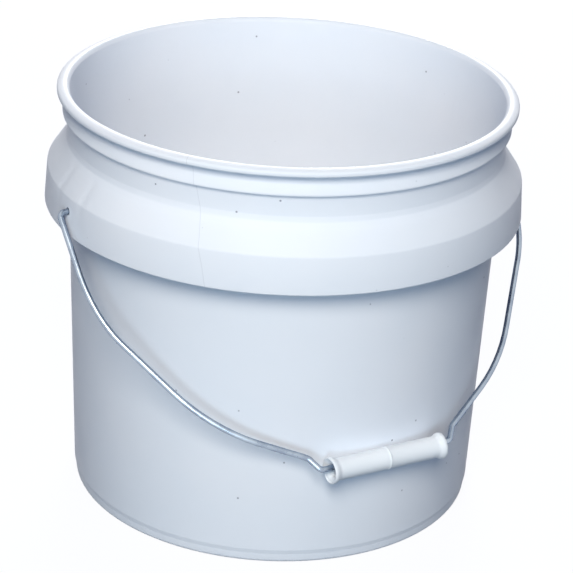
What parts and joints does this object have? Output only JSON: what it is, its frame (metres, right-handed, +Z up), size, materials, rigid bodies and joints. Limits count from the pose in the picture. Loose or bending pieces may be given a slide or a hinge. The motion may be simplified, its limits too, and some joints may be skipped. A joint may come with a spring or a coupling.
{
  "type": "paint pail",
  "caption": "Open round plastic paint pail with a rolled lid rim, a hollow lifting collar and a wire bail with a loose roller grip.",
  "frame": {"origin": "middle of the base, on the plane that the foot ring stands on", "axes": "+Z up along the pail's axis, X through the two ears that carry the bail, -Y the side on which the bail hangs down"},
  "size_m": [0.3308, 0.317, 0.28],
  "materials": {
    "pail_plastic": "white polyethylene, smooth with a soft sheen",
    "galvanised_wire": "bright zinc coated wire",
    "grip_plastic": "white moulded plastic, smooth"
  },
  "bodies": {
    "pail": {"pail": "pail_plastic"},
    "bail": {"bail_wire": "galvanised_wire"},
    "grip": {"grip": "grip_plastic"}
  },
  "joints": [
    {"name": "bail_swing", "type": "hinge", "parent": "pail", "child": "bail", "pos_m": [0, 0, 0.2165], "axis": [-1, 0, 0], "range_deg": [0, 266]},
    {"name": "grip_roll", "type": "hinge", "parent": "bail", "child": "grip", "pos_m": [0, -0.14677, 0.07653], "axis": [1, 0, 0], "range_deg": [-180, 180]}
  ]
}
